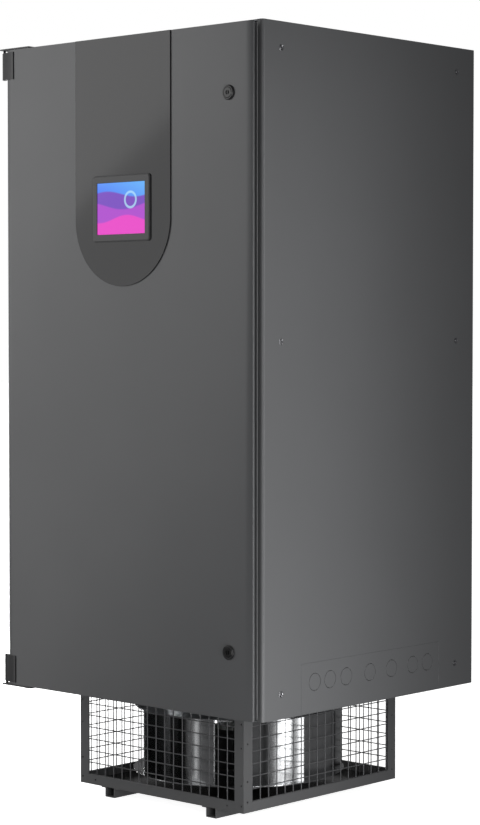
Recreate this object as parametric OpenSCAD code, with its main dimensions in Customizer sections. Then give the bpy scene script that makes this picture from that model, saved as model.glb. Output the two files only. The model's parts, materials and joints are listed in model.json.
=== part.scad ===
// Down-flow room cooling cabinet with an under-floor fan module.
// Origin on the fan's axis, at the underside of the foot rails. +Z is up, the door faces -Y. Millimetres.

/* [Cabinet] */
// Width over the side panels
cabinet_w = 1025; // [980:5:1080]
// Depth over the side panels
cabinet_d = 986; // [960:2:1040]
// Height of the cabinet above its underside
cabinet_h = 1970; // [1940:5:2060]
// How far the cabinet's middle lies behind the fan's axis
cabinet_setback = 34; // [26:1:42]
// Thickness of the painted panels
sheet_t = 2; // [1.6:0.1:2.4]
// Outside radius of the side panels' bent edges
panel_bend_r = 10; // [7:0.5:12]
// Width of the returned edges of the side panels
panel_return = 22; // [19:0.5:24]
// Width of the square frame tube
post_size = 40; // [36:1:44]
// Wall of the frame tube
post_wall = 3; // [2:0.5:4]
// Height of the base and top frame rails
rail_h = 60; // [50:1:70]
// Height of the rails that carry the coil
side_rail_h = 40; // [30:1:50]
// Thickness of the base plate
base_plate_t = 3; // [2:0.5:5]

/* [Door] */
// Distance from the cabinet's front edge to the door's face
door_stand = 42; // [41:0.5:44]
// Width of the door
door_w = 1021; // [1013:1:1023]
// Gap between the cabinet's underside and the door's lower edge
door_gap_low = 6.5; // [6:0.1:9]
// Gap between the door's upper edge and the cabinet's top
door_gap_top = 8; // [7:0.1:10]
// Width of the bevel along both sides of the door
bevel_w = 25; // [18:1:30]
// How far the bevel falls back
bevel_drop = 5; // [3:0.5:6]
// Depth of the folded edge behind the bevel
door_edge_d = 6; // [4:0.5:8]
// Depth of the inner tray of the door
liner_d = 20; // [18:0.5:21]
// Width of the rubber seal
seal_w = 20; // [14:1:24]

/* [Hinges] */
// Distance of the hinge axis outside the door's edge
hinge_out = 19.5; // [17:0.5:24]
// Distance of the hinge axis behind the door's face
hinge_back = 12; // [9:0.5:14]
// Outside radius of the hinge barrel
barrel_r = 6.5; // [6:0.1:8]
// Length of the hinge barrel
barrel_h = 83; // [60:1:100]
// Radius of the hinge pin
pin_r = 4; // [3:0.1:4.5]
// Length of bare pin between bracket and barrel
pin_neck = 7; // [5:0.5:10]
// Thickness of the hinge bracket
bracket_t = 4; // [3:0.5:4.5]
// Thickness of the leaf that is screwed to the door
leaf_t = 3; // [2:0.5:4]

/* [Locks] */
// Distance of the locks from the door's middle
lock_x = 422.5; // [418:0.5:426]
// Height of the lower lock above the cabinet's underside
lock_low = 195; // [150:5:300]
// Distance of the upper lock below the cabinet's top
lock_high = 202; // [150:5:300]
// Radius of the lock's round rosette
rosette_r = 21; // [18:0.5:24]
// Height of the rosette above the door's face
rosette_h = 5.5; // [4:0.5:7]
// Radius of the turning insert
insert_r = 15; // [12:0.5:16]
// Radius of the lock's shaft
lock_shaft_r = 8; // [6:0.1:9]
// Reach of the cam from the lock's axis
cam_reach = 35; // [32:0.5:36]

/* [Display] */
// Width of the raised panel round the display
fascia_w = 394; // [340:2:440]
// Height of the middle of its round lower end above the cabinet's underside
fascia_round_z = 1429; // [1380:1:1480]
// Height of the raised panel above the door's face
fascia_t = 3.5; // [2:0.5:5]
// Width of the display's bezel
bezel_w = 238; // [220:1:260]
// Height of the display's bezel
bezel_h = 195; // [180:1:210]
// Height of the bezel above the raised panel
bezel_t = 6; // [5:0.5:9]
// Height of the middle of the display above the cabinet's underside
display_z = 1460; // [1450:1:1475]
// Width of the visible screen
screen_w = 198; // [180:1:208]
// Height of the visible screen
screen_h = 151; // [140:1:162]
// Depth of the electronics box behind the door's face
display_box_d = 46; // [42:1:50]

/* [Fan cage] */
// Width of the fan cage
cage_w = 686; // [680:2:720]
// Depth of the fan cage
cage_d = 704; // [690:2:740]
// Height of the fan cage between foot rails and cabinet
cage_h = 300; // [296:1:330]
// Height of the foot rails
foot_h = 30; // [24:1:36]
// Width of the legs of the corner angles
angle_w = 36; // [30:1:44]
// Thickness of the cage's angles, bars and floor
cage_t = 3; // [2:0.5:4]
// Height of the bars between the corner angles
bar_h = 30; // [24:1:36]
// Diameter of the mesh wire
wire_d = 3.2; // [2.6:0.1:3.6]
// Pitch of the mesh
mesh_pitch = 36.6; // [30:0.1:50]
// Distance of the foot rails from the middle
foot_x = 213; // [180:1:240]
// Width of the foot rails
foot_w = 40; // [34:1:50]
// Width of the flanges of the foot rails
foot_flange = 17; // [12:1:22]
// Distance between the anchor holes of one foot rail
anchor_pitch = 600; // [500:5:640]
// Radius of the anchor holes
anchor_r = 5.5; // [4:0.5:7]

/* [Fan] */
// Radius of the impeller's back plate
disc_r = 328; // [310:1:329]
// Radius that the blades reach
blade_r = 320; // [300:1:322]
// Radius of the inlet throat
throat_r = 200; // [185:1:205]
// Height of the back plate above the cage floor
disc_lift = 40.5; // [36:0.5:44]
// Height of the blades at their tips
blade_h = 200; // [185:1:202]
// Thickness of the impeller's plates
impeller_t = 3; // [2:0.5:3.5]
// Number of blades
blade_count = 7; // [5:1:9]
// Angle that a blade runs round the axis from inlet to tip
blade_sweep = 42; // [36:1:46]
// Radius of the outer side of a blade
blade_arc_r = 230; // [200:5:260]
// Thickness of a blade at its edges
blade_edge_t = 4; // [3:0.5:6]
// Radius of the motor's rotor
rotor_r = 95; // [85:1:105]
// Height of the rotor
rotor_h = 124; // [100:1:130]
// Radius of the fan's shaft
fan_shaft_r = 12.5; // [10:0.5:15]

/* [Coil] */
// Width of the finned block
coil_w = 800; // [760:5:820]
// Length of the finned block
coil_l = 880; // [840:5:900]
// Thickness of the finned block
coil_t = 110; // [90:2:120]
// Slope of the coil
coil_tilt = 48; // [46:0.5:52]
// Height of the coil's middle above the cabinet's underside
coil_z = 930; // [915:1:960]
// Distance of the coil's middle behind the fan's axis
coil_y = 90; // [80:1:100]
// Depth of the condensate tray
tray_h = 60; // [45:1:65]

/* [Refrigeration] */
// Radius of the compressor's shell
compressor_r = 88; // [75:1:92]
// Height of the compressor's shell
compressor_h = 420; // [380:5:430]
// Height of the rubber feet
rubber_h = 30; // [20:1:40]
// Radius of the liquid receiver
receiver_r = 62; // [50:1:66]
// Height of the liquid receiver
receiver_h = 400; // [340:5:410]
// Radius of the suction pipe
suction_r = 14; // [10:0.5:16]
// Radius of the discharge pipe
discharge_r = 8; // [6:0.5:10]
// Radius of the liquid pipe
liquid_r = 6; // [4:0.5:8]

/* [Controls] */
// Height of the electrical mounting plate
plate_h = 790; // [760:5:800]
// Height of the plate's lower edge above the cabinet's underside
plate_z = 1010; // [1000:5:1020]
// Distance of the mounting plate behind the front posts
plate_back = 87; // [80:1:95]
// Number of circuit breakers
breaker_count = 12; // [4:1:14]
// Number of contactors
contactor_count = 5; // [2:1:6]
// Number of terminals
terminal_count = 34; // [10:1:40]

/* [Hidden] */
$fn = 64;

// Fits and gaps
weld_gap = 0.2;
fit_gap = 0.3;
run_gap = 0.05;
over = 1;

// Colours
paint = [0.25, 0.25, 0.26];
paint_dark = [0.12, 0.12, 0.13];
galvanised = [0.66, 0.68, 0.70];
aluminium = [0.74, 0.75, 0.76];
plastic_dark = [0.10, 0.10, 0.11];
plastic_light = [0.80, 0.80, 0.78];
rubber = [0.05, 0.05, 0.05];
copper = [0.72, 0.42, 0.27];
black_paint = [0.04, 0.04, 0.05];

// Levels and faces of the cabinet
under_z = foot_h + cage_h;
top_z = under_z + cabinet_h;
side_x = cabinet_w / 2;
front_y = cabinet_setback - cabinet_d / 2;
rear_y = cabinet_setback + cabinet_d / 2;
inner_x = side_x - sheet_t;
frame_x = side_x - panel_bend_r;
post_x = frame_x - post_size / 2;
bay_x = frame_x - post_size;
post_front_y = front_y + sheet_t;
post_rear_y = rear_y - sheet_t;
bay_front_y = post_front_y + post_size;
bay_rear_y = post_rear_y - post_size;
bay_d = bay_rear_y - bay_front_y;
bay_y = (bay_front_y + bay_rear_y) / 2;
post_low_z = under_z + rail_h;
post_high_z = top_z - sheet_t - rail_h;
base_top_z = under_z + base_plate_t;

// Door
door_face_y = front_y - door_stand;
door_low_z = under_z + door_gap_low;
door_high_z = top_z - door_gap_top;
door_h = door_high_z - door_low_z;
edge_y = door_face_y + bevel_drop;
liner_front_y = door_face_y + sheet_t;
liner_rear_y = liner_front_y + liner_d;
liner_x = door_w / 2 - bevel_w - fit_gap;
liner_low_z = door_low_z + sheet_t + 8;
liner_high_z = door_high_z - sheet_t - 8;
frame_face_y = post_front_y - 18;
frame_t = 3;
frame_flange = post_size + 3.5;
seal_gap = 0.3;
hinge_x = -(door_w / 2 + hinge_out);
hinge_y = door_face_y + hinge_back;
lock_z = [under_z + lock_low, top_z - lock_high];
sleeve_r = lock_shaft_r + 3;
display_mid_z = under_z + display_z;
box_w = screen_w + 12;
box_h = screen_h + 14;
bezel_face_y = door_face_y - fascia_t - bezel_t;
cam_y = frame_face_y + frame_t + 0.8;
cam_t = 4;

// Fan and cage
floor_z = foot_h + cage_t;
disc_z = floor_z + disc_lift;
blade_z = disc_z + impeller_t;
shroud_z = blade_z + blade_h;
bell_r = 40;
bell_t = 2.5;
bell_z = base_top_z + bell_t - bell_r;
throat_end_z = bell_z - 5;
eye_gap = 4;
collar_r = throat_r + bell_t + eye_gap;
cage_x = cage_w / 2;
cage_y = cage_d / 2;

// Coil
coil_mid = [0, coil_y, under_z + coil_z];
end_plate_t = 3;
tray_t = 1.5;
low_rail_z = under_z + 570;
high_rail_z = under_z + 1230;
tray_front_y = coil_y + cos(coil_tilt) * -coil_l / 2 - sin(coil_tilt) * coil_t / 2 - 45;
tray_rear_y = tray_front_y + 200;

// Refrigeration
compressor_xy = [-335, -320];
receiver_xy = [330, -320];
pipe_bend = 30;
suction_bend = 35;
header_x = coil_w / 2 + 40;
receiver_top_z = base_top_z + receiver_h + 32;
liquid_level = receiver_top_z + 35;
drier_r = 26;
drier_z = [liquid_level + 40, liquid_level + 170];
pipe_x = bay_x - drier_r - 4;
suction_y = -50;
suction_z = round(coil_mid[2] + (suction_y - coil_y) * tan(coil_tilt));
liquid_z = drier_z[1] + 30;
liquid_y = round(coil_y + (liquid_z - coil_mid[2]) / tan(coil_tilt));
valve_y = [receiver_xy[1] + 60, receiver_xy[1] + 108];

// Controls
plate_y = bay_front_y + plate_back;
plate_low_z = under_z + plate_z;
plate_t = 2.5;
duct_d = 50;
filter_z = under_z + 1820;

/* Shared shapes */

// A box given by its lowest and highest corner
module block(low, high) translate(low) cube(high - low);

// A square tube, hollow along one axis
module tube(low, high, wall, along) {
    size = high - low;
    cut = [for (i = [0:2]) i == along ? size[i] + 2 * over : size[i] - 2 * wall];
    translate((low + high) / 2) difference() {
        cube(size, center = true);
        cube(cut, center = true);
    }
}

// Children on both sides of the middle plane
module both_sides() {
    children();
    mirror([1, 0, 0]) children();
}

// Children turned so that their Z runs towards the front
module facing_front(at) translate(at) rotate([90, 0, 0]) children();

// Children turned so that their Z runs to the right or, on the left side, to the left
module facing_side(at, side) translate(at) rotate([0, 90 * side, 0]) children();

// A frame of reference given by its three directions
module placed(x_dir, y_dir, z_dir, at)
    multmatrix([for (i = [0:2]) [x_dir[i], y_dir[i], z_dir[i], at[i]]]) children();

// A round pipe through square corners, with one bend radius
module pipe(points, r, bend_r) {
    last = len(points) - 1;
    for (i = [0:last - 1]) {
        dir = (points[i + 1] - points[i]) / norm(points[i + 1] - points[i]);
        start = points[i] + (i == 0 ? 0 : bend_r) * dir;
        end = points[i + 1] - (i == last - 1 ? 0 : bend_r) * dir;
        side = cross(dir, abs(dir[2]) > 0.5 ? [1, 0, 0] : [0, 0, 1]);
        placed(side, cross(dir, side), dir, start) cylinder(r = r, h = norm(end - start));
        if (i < last - 1) {
            next = (points[i + 2] - points[i + 1]) / norm(points[i + 2] - points[i + 1]);
            placed(-next, dir, cross(dir, next), end + bend_r * next)
                rotate_extrude(angle = 90) translate([bend_r, 0]) circle(r);
        }
    }
}

// A rectangle with rounded corners, middle at the origin
module rounded_plate(w, h, r) {
    square([w - 2 * r, h], center = true);
    square([w, h - 2 * r], center = true);
    for (x = [-1, 1], y = [-1, 1]) translate([x * (w / 2 - r), y * (h / 2 - r)]) circle(r);
}

/* Frame */

module frame_posts() color(galvanised)
    for (x = [-1, 1], y = [post_front_y, bay_rear_y])
        tube([x * post_x - post_size / 2, y, post_low_z],
            [x * post_x + post_size / 2, y + post_size, post_high_z], post_wall, 2);

// Four tubes on one level: two along the sides, two across between them
module frame_level(z) {
    both_sides() tube([bay_x, post_front_y, z], [frame_x, post_rear_y, z + rail_h], post_wall, 1);
    for (y = [post_front_y, bay_rear_y])
        tube([weld_gap - bay_x, y, z], [bay_x - weld_gap, y + post_size, z + rail_h], post_wall, 0);
}

module base_rails() color(galvanised) frame_level(under_z);

module top_rails() color(galvanised) frame_level(post_high_z);

module side_rails() color(galvanised) both_sides()
    for (z = [low_rail_z - side_rail_h, high_rail_z - side_rail_h])
        tube([bay_x, bay_front_y + weld_gap, z], [frame_x, bay_rear_y - weld_gap, z + side_rail_h], post_wall, 1);

module base_plate() color(galvanised) difference() {
    block([weld_gap - bay_x, bay_front_y + weld_gap, under_z],
        [bay_x - weld_gap, bay_rear_y - weld_gap, base_top_z]);
    translate([0, 0, under_z - over])
        cylinder(r = throat_r + bell_r + 2, h = base_plate_t + 2 * over);
}

/* Panels */

screw_r = 9;
screw_z = [under_z + 71, under_z + 1071, top_z - 74];
screw_y = [front_y + 79, rear_y - 93];
rear_screw_x = [-1, 1] * (bay_x + 13);
rear_split_z = under_z + 985;
rear_gap = 2;

// Plan of a slab whose two outer corners are round; its outer face lies on the Y axis
module round_edged(depth, length, r) {
    translate([-depth, r]) square([depth, length - 2 * r]);
    translate([-depth, 0]) square([depth - r, length]);
    for (y = [r, length - r]) translate([-r, y]) circle(r);
}

module panel_plan() difference() {
    round_edged(panel_return, cabinet_d, panel_bend_r);
    translate([-sheet_t, sheet_t])
        round_edged(panel_return, cabinet_d - 2 * sheet_t, panel_bend_r - sheet_t);
}

module side_panel() difference() {
    translate([side_x, front_y, under_z]) linear_extrude(cabinet_h) panel_plan();
    for (y = screw_y, z = screw_z)
        facing_side([inner_x - over, y, z], 1) cylinder(r = screw_r + weld_gap / 2, h = sheet_t + 2 * over);
}

entry_low = [-293, under_z + 2];
entry_high = [352, under_z + 147];
entry_lap = 12;
entry_back_t = 1.5;
knockout_r = 26;
knockout_slot = 1.4;
knockout_z = under_z + 90;
knockout_y = [-233, -164.5, -91.5, 18, 120, 222.5, 294];

module side_panel_left() color(paint) mirror([1, 0, 0]) side_panel();

module side_panel_right() color(paint) difference() {
    side_panel();
    block([inner_x - over, entry_low[0], entry_low[1]], [side_x + over, entry_high[0], entry_high[1]]);
}

// Flush plate with knockouts, each held by three narrow ties
module cable_entry_plate() color(paint) difference() {
    union() {
        block([inner_x - entry_back_t / 2, entry_low[0] + fit_gap, entry_low[1] + fit_gap],
            [side_x, entry_high[0] - fit_gap, entry_high[1] - fit_gap]);
        block([inner_x - entry_back_t, entry_low[0] - entry_lap, entry_low[1] + fit_gap],
            [inner_x, entry_high[0] + entry_lap, entry_high[1] + entry_lap]);
    }
    for (y = knockout_y) facing_side([inner_x - 2 * entry_back_t, y, knockout_z], 1) difference() {
        cylinder(r = knockout_r, h = sheet_t + 4 * entry_back_t);
        cylinder(r = knockout_r - knockout_slot, h = sheet_t + 4 * entry_back_t);
        for (a = [30, 150, 270]) rotate(a) translate([0, -1.5, 0])
            cube([knockout_r + over, 3, sheet_t + 4 * entry_back_t]);
    }
}

module rear_panels() color(paint) {
    w = side_x - panel_return - rear_gap;
    difference() {
        union() {
            block([-w, post_rear_y, under_z + rear_gap], [w, rear_y, rear_split_z]);
            block([-w, post_rear_y, rear_split_z + rear_gap], [w, rear_y, top_z - rear_gap]);
        }
        for (x = rear_screw_x, z = [screw_z[0], rear_split_z - 60, rear_split_z + 60, screw_z[2]])
            facing_front([x, rear_y + over, z]) cylinder(r = screw_r + weld_gap / 2, h = sheet_t + 2 * over);
    }
}

// Top sheet with the slots that the return air enters through
slot_field = [840, 780];
slot_w = 12;
slot_pitch = 24;
slot_columns = 4;
slot_land = 24;

module top_grille_cover() color(paint) {
    x = inner_x - fit_gap;
    y = [post_front_y + fit_gap, post_rear_y - fit_gap];
    cut = panel_bend_r - sheet_t;
    rows = floor(slot_field[1] / slot_pitch);
    slot_l = (slot_field[0] + slot_land) / slot_columns - slot_land;
    translate([0, 0, top_z - sheet_t]) linear_extrude(sheet_t) difference() {
        polygon([[cut - x, y[0]], [x - cut, y[0]], [x, y[0] + cut], [x, y[1] - cut], [x - cut, y[1]],
            [cut - x, y[1]], [-x, y[1] - cut], [-x, y[0] + cut]]);
        for (i = [0:slot_columns - 1], j = [0:rows - 1])
            translate([i * (slot_l + slot_land) - slot_field[0] / 2,
                bay_y - slot_field[1] / 2 + (j + 0.25) * slot_pitch]) square([slot_l, slot_w]);
    }
}

// Flush finishing cup with a socket screw in it
module cup_screw() difference() {
    rotate_extrude() polygon([[0, 0], [screw_r, 0], [screw_r, sheet_t + 0.3], [screw_r - 0.9, sheet_t + 0.7],
        [5.2, 0.7], [4.8, sheet_t - 0.4], [4, sheet_t + 0.3], [0, sheet_t + 0.4]]);
    translate([0, 0, 0.6]) cylinder(r = 2.3, h = sheet_t + over, $fn = 6);
}

module panel_screws() color(paint_dark) {
    for (side = [-1, 1], y = screw_y, z = screw_z) facing_side([side * inner_x, y, z], side) cup_screw();
    for (x = rear_screw_x, z = [screw_z[0], rear_split_z - 60, rear_split_z + 60, screw_z[2]])
        translate([x, post_rear_y, z]) rotate([-90, 0, 0]) cup_screw();
}

/* Door frame, hinges and keepers */

// Channel section with the flange that the seal meets at the front
module frame_section() {
    foot = 18;
    depth = post_front_y - frame_face_y;
    square([frame_t, depth]);
    square([frame_flange, frame_t]);
    translate([0, depth - frame_t]) square([foot, frame_t]);
}

frame_low_z = door_low_z + 3.5;
frame_high_z = door_high_z - 3.5;

module door_frame() color(paint) {
    both_sides() translate([bay_x, frame_face_y, frame_low_z])
        linear_extrude(frame_high_z - frame_low_z) frame_section();
    rail_l = 2 * (bay_x - weld_gap);
    translate([rail_l / 2, frame_face_y, frame_high_z - frame_flange])
        rotate([0, -90, 0]) linear_extrude(rail_l) frame_section();
    translate([-rail_l / 2, frame_face_y, frame_low_z + frame_flange])
        rotate([0, 90, 0]) linear_extrude(rail_l) frame_section();
}

bracket_play = 0.8;
bracket_left = hinge_x - barrel_r - 3;
bracket_right = bracket_left + 131;

// Angle with a plate over the door's corner and a pin down into the barrel
module hinge_bracket() {
    plate_z = bracket_play;
    block([bracket_left, door_face_y, plate_z], [bracket_right, front_y - over, plate_z + bracket_t]);
    block([-bay_x + fit_gap, door_face_y + 20, plate_z], [bracket_right, post_front_y, plate_z + bracket_t]);
    block([-bay_x + fit_gap, post_front_y - frame_t, -10], [bracket_right, post_front_y, plate_z + over]);
    translate([hinge_x, hinge_y, -pin_neck - barrel_h * 0.7])
        cylinder(r = pin_r, h = pin_neck + barrel_h * 0.7 + plate_z + over);
}

module hinge_brackets() color(black_paint) {
    translate([0, 0, door_high_z]) hinge_bracket();
    translate([0, 0, door_low_z]) mirror([0, 0, 1]) hinge_bracket();
}

keeper_reach = 22;
keeper_half = 28;

module lock_keepers() color(galvanised) for (z = lock_z) {
    x = bay_x - weld_gap;
    block([x - frame_t, frame_face_y + 0.2, z - keeper_half], [x, post_front_y, z + keeper_half]);
    block([x - keeper_reach, frame_face_y + 0.2, z - keeper_half], [x, frame_face_y + frame_t, z + keeper_half]);
}

/* Door */

// Plan of the door's skin: bevelled sides and folded edges, set in by a given amount
module skin_plan(inset) {
    x = door_w / 2 - inset;
    flat = door_w / 2 - bevel_w - inset * 0.1;
    nose = 1.5;
    polygon([[-x, edge_y + door_edge_d], [-x, edge_y + nose + inset * 0.9],
        [-x + nose, edge_y + inset], [-flat, door_face_y + inset], [flat, door_face_y + inset],
        [x - nose, edge_y + inset], [x, edge_y + nose + inset * 0.9], [x, edge_y + door_edge_d]]);
}

module door_openings(depth) {
    for (z = lock_z) facing_front([lock_x, door_face_y + depth + over, z])
        cylinder(r = sleeve_r + 0.1, h = depth + 2 * over);
    block([-box_w / 2 - fit_gap, door_face_y - over, display_mid_z - box_h / 2 - fit_gap],
        [box_w / 2 + fit_gap, door_face_y + depth + over, display_mid_z + box_h / 2 + fit_gap]);
}

module door_skin() color(paint) difference() {
    translate([0, 0, door_low_z]) linear_extrude(door_h) skin_plan(0);
    translate([0, over, door_low_z + sheet_t]) linear_extrude(door_h - 2 * sheet_t) union() {
        translate([0, -over]) skin_plan(sheet_t);
        translate([-door_w / 2 + sheet_t, edge_y + door_edge_d - over - 0.1]) square([door_w - 2 * sheet_t, 2]);
    }
    door_openings(sheet_t);
}

// Inner pan, its open side against the skin
module door_liner() color(paint_dark) difference() {
    wall = 1.5;
    block([-liner_x, liner_front_y, liner_low_z], [liner_x, liner_rear_y, liner_high_z]);
    block([-liner_x + wall, liner_front_y - over, liner_low_z + wall],
        [liner_x - wall, liner_rear_y - wall, liner_high_z - wall]);
    door_openings(sheet_t + liner_d);
}

hat_h = 60;
hat_d = 12;
hat_x = 370;

module door_stiffeners() color(paint_dark)
    for (z = [under_z + 420, under_z + 1010, under_z + 1640]) translate([-hat_x, liner_rear_y, z])
        rotate([90, 0, 90]) linear_extrude(2 * hat_x) polygon([[0, 0], [0, hat_h], [1.5, hat_h],
            [1.5, hat_h - 15], [hat_d, hat_h - 21], [hat_d, 21], [1.5, 15], [1.5, 0]]);

module door_seal() color(rubber) {
    inset = 2;
    x = liner_x - inset;
    z = [liner_low_z + inset, liner_high_z - inset];
    y = [liner_rear_y, frame_face_y - seal_gap];
    difference() {
        block([-x, y[0], z[0]], [x, y[1], z[1]]);
        block([-x + seal_w, y[0] - over, z[0] + seal_w], [x - seal_w, y[1] + over, z[1] - seal_w]);
    }
}

// Barrel with a leaf that wraps the door's bevelled edge
module hinge_knuckle() {
    edge = -door_w / 2;
    flat = edge + bevel_w;
    lap = 10;
    difference() {
        union() {
            translate([hinge_x, hinge_y, 0]) rotate_extrude() polygon([[0, 0], [barrel_r, 0],
                [barrel_r, barrel_h - 1.5], [barrel_r - 1.5, barrel_h], [0, barrel_h]]);
            linear_extrude(barrel_h) polygon([[hinge_x, hinge_y - barrel_r + 0.5],
                [edge - 1, edge_y - leaf_t], [flat, door_face_y - leaf_t], [flat + lap, door_face_y - leaf_t],
                [flat + lap, door_face_y - 0.02], [flat, door_face_y - 0.02], [edge - 0.05, edge_y - 0.02],
                [edge - 0.05, edge_y + door_edge_d], [hinge_x, hinge_y + 3]]);
        }
        translate([hinge_x, hinge_y, -over]) cylinder(r = pin_r + run_gap, h = barrel_h + 2 * over);
    }
}

module hinge_knuckles() color(black_paint) {
    translate([0, 0, door_high_z - pin_neck - barrel_h]) hinge_knuckle();
    translate([0, 0, door_low_z + pin_neck + barrel_h]) mirror([0, 0, 1]) hinge_knuckle();
}

/* Display */

module display_fascia() color(paint_dark) {
    mid_z = under_z + fascia_round_z;
    difference() {
        facing_front([0, door_face_y, mid_z]) linear_extrude(fascia_t) union() {
            circle(fascia_w / 2, $fn = 128);
            translate([-fascia_w / 2, 0]) square([fascia_w, door_high_z - mid_z]);
        }
        block([-box_w / 2 - fit_gap, door_face_y - fascia_t - over, display_mid_z - box_h / 2 - fit_gap],
            [box_w / 2 + fit_gap, door_face_y + over, display_mid_z + box_h / 2 + fit_gap]);
    }
}

glass_recess = 1.5;

module display_bezel() color(plastic_dark) difference() {
    facing_front([0, door_face_y - fascia_t, display_mid_z]) union() {
        linear_extrude(bezel_t - 2) rounded_plate(bezel_w, bezel_h, 10);
        linear_extrude(bezel_t) rounded_plate(bezel_w - 5, bezel_h - 5, 8);
    }
    block([-screen_w / 2, bezel_face_y - over, display_mid_z - screen_h / 2],
        [screen_w / 2, door_face_y + over, display_mid_z + screen_h / 2]);
}

module display_screen() color([0.25, 0.15, 0.75])
    block([-screen_w / 2 + fit_gap, bezel_face_y + glass_recess, display_mid_z - screen_h / 2 + fit_gap],
        [screen_w / 2 - fit_gap, door_face_y - fascia_t, display_mid_z + screen_h / 2 - fit_gap]);

module display_box() color(galvanised) {
    rear_y = door_face_y + display_box_d;
    difference() {
        block([-box_w / 2, door_face_y - fascia_t, display_mid_z - box_h / 2],
            [box_w / 2, rear_y, display_mid_z + box_h / 2]);
        for (x = [-70:14:70]) block([x, rear_y - 2, display_mid_z - 40], [x + 5, rear_y + over, display_mid_z + 40]);
    }
    difference() {
        block([-box_w / 2 - 14, liner_rear_y, display_mid_z - box_h / 2 - 14],
            [box_w / 2 + 14, liner_rear_y + 2, display_mid_z + box_h / 2 + 14]);
        block([-box_w / 2 + over, liner_rear_y - over, display_mid_z - box_h / 2 + over],
            [box_w / 2 - over, liner_rear_y + 3, display_mid_z + box_h / 2 - over]);
    }
}

/* Locks */

insert_depth = 3.5;
lock_rear_y = cam_y - 1;

module lock_housings() color(plastic_dark) for (z = lock_z) translate([lock_x, 0, z]) difference() {
    union() {
        facing_front([0, door_face_y, 0]) rotate_extrude() polygon([[0, 0], [rosette_r, 0],
            [rosette_r, rosette_h - 2], [rosette_r - 2, rosette_h], [0, rosette_h]]);
        facing_front([0, lock_rear_y, 0]) cylinder(r = sleeve_r, h = lock_rear_y - door_face_y);
        facing_front([0, liner_rear_y + 5, 0]) cylinder(r = sleeve_r + 5, h = 5, $fn = 6);
    }
    facing_front([0, lock_rear_y + over, 0])
        cylinder(r = lock_shaft_r + run_gap, h = lock_rear_y - door_face_y + rosette_h + 2 * over);
    facing_front([0, door_face_y - rosette_h + insert_depth, 0])
        cylinder(r = insert_r + fit_gap, h = insert_depth + over);
}

// Insert with a key recess, its shaft and the cam behind the door; the cam hangs down at rest
module lock_insert(z) color(galvanised) translate([lock_x, 0, z]) {
    face_y = door_face_y - rosette_h - 0.5;
    seat_y = door_face_y - rosette_h + insert_depth - 0.1;
    difference() {
        union() {
            facing_front([0, seat_y, 0]) rotate_extrude() polygon([[0, 0], [insert_r, 0],
                [insert_r, seat_y - face_y - 1], [insert_r - 1, seat_y - face_y], [0, seat_y - face_y]]);
            facing_front([0, cam_y + cam_t, 0]) cylinder(r = lock_shaft_r, h = cam_y + cam_t - seat_y + over);
        }
        facing_front([0, face_y + 9, 0]) difference() {
            cylinder(r = lock_shaft_r - 1.5, h = 10);
            translate([-1.5, -lock_shaft_r, -over]) cube([3, 2 * lock_shaft_r, 12]);
            cylinder(r = 2.4, h = 10);
        }
    }
    block([-10, cam_y, -cam_reach], [10, cam_y + cam_t, 14]);
    facing_front([0, cam_y + cam_t + 5, 0]) cylinder(r = lock_shaft_r - 1, h = 6, $fn = 6);
}

module upper_lock_insert() lock_insert(lock_z[1]);

module lower_lock_insert() lock_insert(lock_z[0]);

/* Air path */

rack_angle = 30;
rack_t = 3;

module filter_rack() color(galvanised) {
    low = filter_z;
    both_sides() {
        block([bay_x - rack_t, post_front_y + 5, low], [bay_x - weld_gap, post_rear_y - 5, low + 60]);
        block([bay_x - rack_angle, bay_front_y, low], [bay_x - weld_gap, bay_rear_y, low + rack_t]);
    }
    block([-rack_angle, bay_front_y, low], [rack_angle, bay_rear_y, low + rack_t]);
    block([-1.5, bay_front_y, low], [1.5, bay_rear_y, low + 60]);
    for (y = [bay_front_y, bay_rear_y - rack_angle])
        block([weld_gap - bay_x, y, low - rack_t - weld_gap], [bay_x - weld_gap, y + rack_angle, low - weld_gap]);
}

pleat_pitch = 24;
filter_h = 48;
filter_rim = 14;

// Cardboard frame with a zigzag of filter cloth across it
module pleated_filter(w, l) {
    count = floor((w - 2 * filter_rim) / pleat_pitch);
    cloth_w = w - 2 * filter_rim + 2;
    step = cloth_w / count / 2;
    top = [for (i = [0:2 * count]) [i * step, (i % 2) * (filter_h - 8) + 5]];
    bottom = [for (i = [2 * count:-1:0]) [i * step, (i % 2) * (filter_h - 8) + 2]];
    difference() {
        cube([w, l, filter_h]);
        translate([filter_rim, filter_rim, -over]) cube([w - 2 * filter_rim, l - 2 * filter_rim, filter_h + 2 * over]);
    }
    translate([filter_rim - 1, l - filter_rim + 1, 0]) rotate([90, 0, 0])
        linear_extrude(l - 2 * filter_rim + 2) polygon(concat(top, bottom));
}

module air_filters() color(plastic_light) {
    w = bay_x - rack_t - 1.5 - 2 * fit_gap;
    l = (bay_d - 3 * fit_gap) / 2;
    for (x = [-w - 1.5 - fit_gap, 1.5 + fit_gap], i = [0, 1])
        translate([x, bay_front_y + fit_gap + i * (l + fit_gap), filter_z + rack_t + 0.1]) pleated_filter(w, l);
}

module on_coil() translate(coil_mid) rotate([coil_tilt, 0, 0]) children();

fin_pitch = 16;
fin_groove = 7;

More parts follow.
